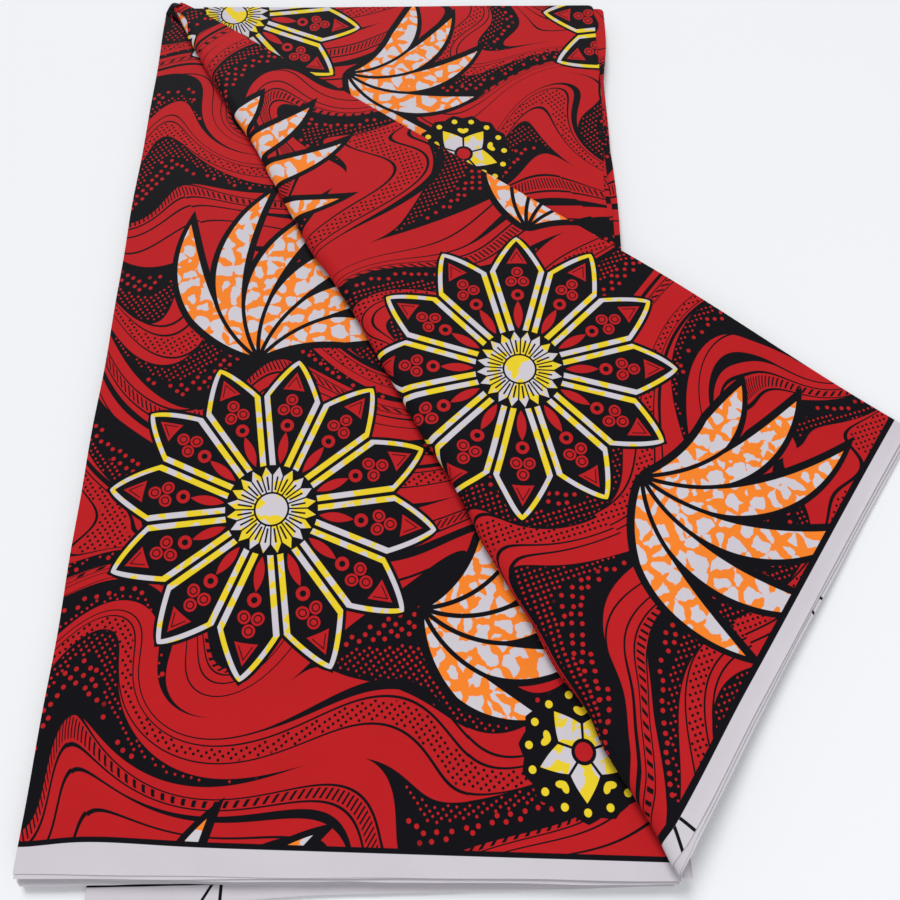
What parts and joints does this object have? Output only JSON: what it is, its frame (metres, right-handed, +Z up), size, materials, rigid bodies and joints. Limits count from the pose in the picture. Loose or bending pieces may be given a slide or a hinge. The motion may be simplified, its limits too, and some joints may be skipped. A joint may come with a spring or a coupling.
{
  "type": "folded wax print fabric",
  "caption": "Length of printed cotton folded to a flat pile, its top panels turned over the diagonal in a soft roll, with bare selvedges staggered at the foot.",
  "frame": {"origin": "the middle of the whole footprint, on the surface that the cloth lies on", "axes": "+X across the pile towards the turned flap, +Y from the selvedges at the foot to the folded far end, +Z up"},
  "size_m": [0.4986, 0.5988, 0.0205],
  "materials": {
    "printed_cotton": "smooth plain weave cotton with a slight satin sheen, printed in red, black, yellow, orange and pale lavender",
    "bare_selvedge": "unprinted plain weave cotton, matt, pale lavender white"
  },
  "bodies": {
    "root": {"base_pile": "printed_cotton", "base_panel": "printed_cotton", "upper_panel": "printed_cotton", "flap_panel": "printed_cotton", "corner_curl": "printed_cotton", "flap_middle_layers": "bare_selvedge", "flap_lower_layers": "bare_selvedge", "selvedge_upper": "bare_selvedge", "selvedge_middle": "bare_selvedge", "selvedge_lower": "bare_selvedge"}
  },
  "joints": []
}
